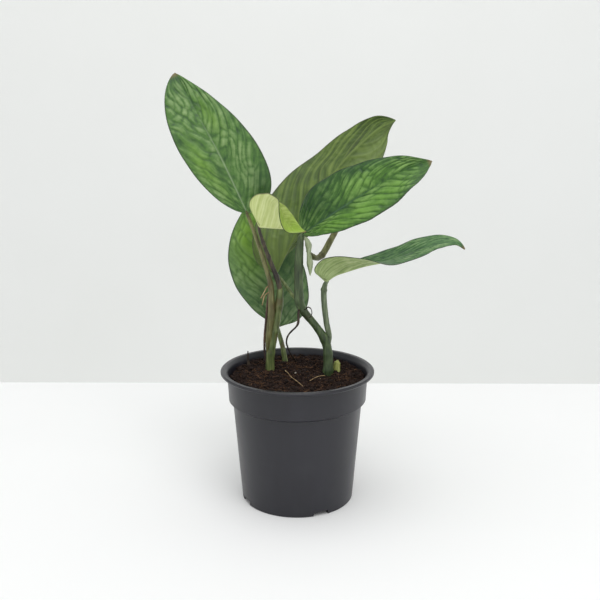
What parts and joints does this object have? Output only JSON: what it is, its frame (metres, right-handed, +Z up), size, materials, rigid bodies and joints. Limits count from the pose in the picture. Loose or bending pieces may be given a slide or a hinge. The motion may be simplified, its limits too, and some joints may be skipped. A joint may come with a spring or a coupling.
{
  "type": "potted pothos plant",
  "caption": "Young climbing houseplant with puckered oval leaves on upright stalks, rooted in dark mix in a round black plastic nursery pot.",
  "frame": {"origin": "centre of the flat pad in the pot's base, on the surface the pot stands on", "axes": "+Z up; -Y is the side seen first, with +X to its right"},
  "size_m": [0.2243, 0.1352, 0.3296],
  "materials": {
    "black_plastic": "semi-matte moulded black plastic with faint flow marks",
    "potting_mix": "moist dark peat and coir, rough and fibrous",
    "stem": "satin green stem with brown node scars",
    "stem_dark": "satin dark green stem",
    "stalk_brown": "olive to tan stalk, satin",
    "stalk_dark": "brown-black stalk, satin",
    "pale_sheath": "papery pale green bud sheath",
    "dry_sheath": "dry purple-brown leaf sheath",
    "cut_stem": "pale cut stem end",
    "root_dark": "dark brown corky root",
    "root_pale": "pale dry root",
    "bark": "weathered bark",
    "leaf_face": "waxy dark green with silver-green puckers between sunken veins",
    "leaf_back": "matt grey-green underside with raised veins",
    "young_leaf": "soft pale yellow-green new leaf"
  },
  "bodies": {
    "root": {"nursery_pot": "black_plastic", "potting_soil": "potting_mix", "stem_left": "stem", "stem_right": "stem_dark", "petiole_upper_left": "stalk_brown", "petiole_young": "stalk_dark", "petiole_right": "stem_dark", "petiole_low_right": "stem_dark", "petiole_back": "stem", "petiole_lower_left": "stem", "side_shoot": "stalk_brown", "furled_leaf": "young_leaf", "bud_sheath": "pale_sheath", "dry_sheath": "dry_sheath", "cut_stub": "cut_stem", "aerial_root_long": "root_dark", "aerial_root_curly": "root_dark", "dry_root_left": "root_pale", "dry_root_low": "root_pale", "root_thread_front": "root_pale", "root_thread_right": "root_pale", "bark_twig": "bark", "leaf_upper_left": "leaf_face", "leaf_right": "leaf_face", "leaf_lower_left": "leaf_face", "leaf_back": "leaf_back", "leaf_low_right": "leaf_back", "leaf_young": "young_leaf"}
  },
  "joints": []
}
